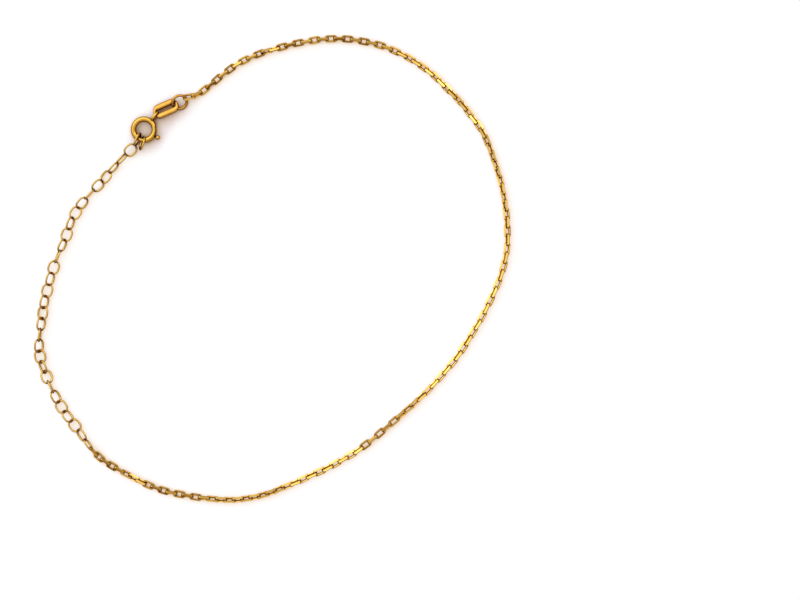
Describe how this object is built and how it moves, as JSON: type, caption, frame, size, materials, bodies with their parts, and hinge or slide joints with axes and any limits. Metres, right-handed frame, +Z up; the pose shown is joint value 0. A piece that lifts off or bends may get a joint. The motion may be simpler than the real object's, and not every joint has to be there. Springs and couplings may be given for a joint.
{
  "type": "chain bracelet",
  "caption": "Fine gold cable chain bracelet with an extender chain, a jump ring, an oval link and a spring ring clasp, lying closed in a loose loop.",
  "frame": {"origin": "middle of the bracelet's box, on the surface that it lies on", "axes": "+Z up from the surface, +X and +Y across the loop, with the clasp in the -X +Y quarter"},
  "size_m": [0.0914, 0.0897, 0.0023],
  "materials": {
    "chain_gold": "yellow gold, polished, with diamond-cut facets",
    "extender_gold": "yellow gold, bright drawn wire",
    "fittings_gold": "yellow gold, polished",
    "clasp_gold": "yellow gold, polished"
  },
  "bodies": {
    "bracelet": {"chain": "chain_gold", "chain_end_link": "chain_gold", "extender_chain": "extender_gold", "hooked_link": "extender_gold", "last_link": "extender_gold", "jump_ring": "fittings_gold", "oval_link": "fittings_gold", "spring_ring": "clasp_gold"},
    "trigger": {"trigger": "clasp_gold"}
  },
  "joints": [
    {"name": "trigger_pull", "type": "hinge", "parent": "bracelet", "child": "trigger", "pos_m": [-0.02452, 0.02668, 0.00094], "axis": [-0.0275, -0.0339, 0.999], "range_deg": [0, 43], "stiffness_Nm_per_rad": 0.002}
  ]
}
